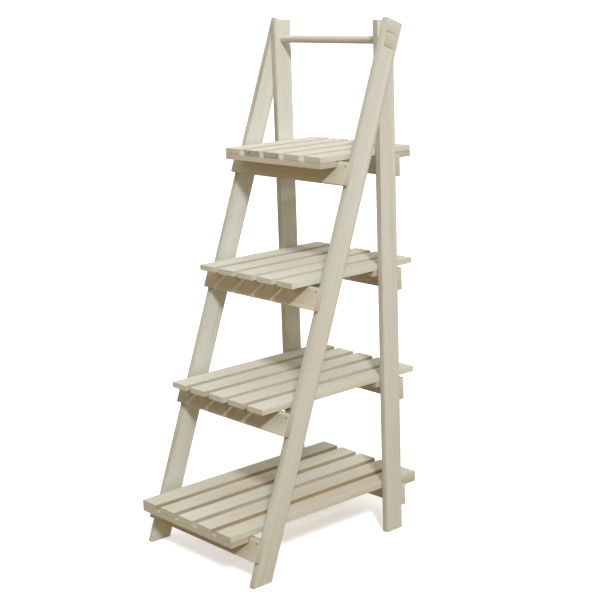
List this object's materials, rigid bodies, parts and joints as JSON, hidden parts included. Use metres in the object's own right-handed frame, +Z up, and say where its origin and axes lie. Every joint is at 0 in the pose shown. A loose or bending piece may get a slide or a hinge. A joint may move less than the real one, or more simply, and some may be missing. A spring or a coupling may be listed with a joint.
{
  "type": "ladder shelf",
  "caption": "Folding slatted ladder shelf: two crossing leg frames on a round dowel, with loose slatted shelves that get deeper towards the floor.",
  "frame": {"origin": "on the floor, in the middle of the footprint box", "axes": "+X across the shelf to its right as seen from the front, +Y from the leaning front legs to the upright rear legs, +Z up"},
  "size_m": [0.35, 0.515, 1.0802],
  "materials": {
    "leg_wood": "bare sawn softwood, lightly bleached",
    "rail_wood": "bare sawn softwood",
    "slat_wood": "bare planed softwood, lightly bleached",
    "batten_wood": "bare sawn softwood",
    "block_wood": "bare sawn softwood",
    "dowel_wood": "bare turned softwood",
    "nail_steel": "dull wire nail"
  },
  "bodies": {
    "rear_frame": {"rear_leg_left": "leg_wood", "rear_leg_right": "leg_wood", "rear_rail_1": "rail_wood", "rear_rail_2": "rail_wood", "rear_rail_3": "rail_wood", "rear_rail_4": "rail_wood", "rear_rail_1_nail_left": "nail_steel", "rear_rail_1_nail_right": "nail_steel", "rear_rail_2_nail_left": "nail_steel", "rear_rail_2_nail_right": "nail_steel", "rear_rail_3_nail_left": "nail_steel", "rear_rail_3_nail_right": "nail_steel", "rear_rail_4_nail_left": "nail_steel", "rear_rail_4_nail_right": "nail_steel"},
    "front_frame": {"front_leg_left": "leg_wood", "front_leg_right": "leg_wood", "front_rail_1": "rail_wood", "front_rail_2": "rail_wood", "front_rail_3": "rail_wood", "front_rail_4": "rail_wood", "front_rail_1_nail_left": "nail_steel", "front_rail_1_nail_right": "nail_steel", "front_rail_2_nail_left": "nail_steel", "front_rail_2_nail_right": "nail_steel", "front_rail_3_nail_left": "nail_steel", "front_rail_3_nail_right": "nail_steel", "front_rail_4_nail_left": "nail_steel", "front_rail_4_nail_right": "nail_steel", "pivot_block_left": "block_wood", "pivot_block_right": "block_wood", "top_dowel": "dowel_wood"},
    "shelf_1": {"shelf_1_slat_1": "slat_wood", "shelf_1_slat_2": "slat_wood", "shelf_1_slat_3": "slat_wood", "shelf_1_slat_4": "slat_wood", "shelf_1_slat_5": "slat_wood", "shelf_1_batten_front": "batten_wood", "shelf_1_batten_rear": "batten_wood"},
    "shelf_2": {"shelf_2_slat_1": "slat_wood", "shelf_2_slat_2": "slat_wood", "shelf_2_slat_3": "slat_wood", "shelf_2_slat_4": "slat_wood", "shelf_2_slat_5": "slat_wood", "shelf_2_batten_front": "batten_wood", "shelf_2_batten_rear": "batten_wood"},
    "shelf_3": {"shelf_3_slat_1": "slat_wood", "shelf_3_slat_2": "slat_wood", "shelf_3_slat_3": "slat_wood", "shelf_3_slat_4": "slat_wood", "shelf_3_slat_5": "slat_wood", "shelf_3_batten_front": "batten_wood", "shelf_3_batten_rear": "batten_wood"},
    "shelf_4": {"shelf_4_slat_1": "slat_wood", "shelf_4_slat_2": "slat_wood", "shelf_4_slat_3": "slat_wood", "shelf_4_slat_4": "slat_wood", "shelf_4_slat_5": "slat_wood", "shelf_4_batten_front": "batten_wood", "shelf_4_batten_rear": "batten_wood"}
  },
  "joints": [
    {"name": "fold", "type": "hinge", "parent": "rear_frame", "child": "front_frame", "pos_m": [0, 0.17681, 1.035], "axis": [1, 0, 0], "range_deg": [0, 20.2]},
    {"name": "shelf_1_lift", "type": "slide", "parent": "rear_frame", "child": "shelf_1", "axis": [0, 0, 1], "range_m": [0, 0.1]},
    {"name": "shelf_2_lift", "type": "slide", "parent": "rear_frame", "child": "shelf_2", "axis": [0, 0, 1], "range_m": [0, 0.1]},
    {"name": "shelf_3_lift", "type": "slide", "parent": "rear_frame", "child": "shelf_3", "axis": [0, 0, 1], "range_m": [0, 0.1]},
    {"name": "shelf_4_lift", "type": "slide", "parent": "rear_frame", "child": "shelf_4", "axis": [0, 0, 1], "range_m": [0, 0.1]}
  ]
}
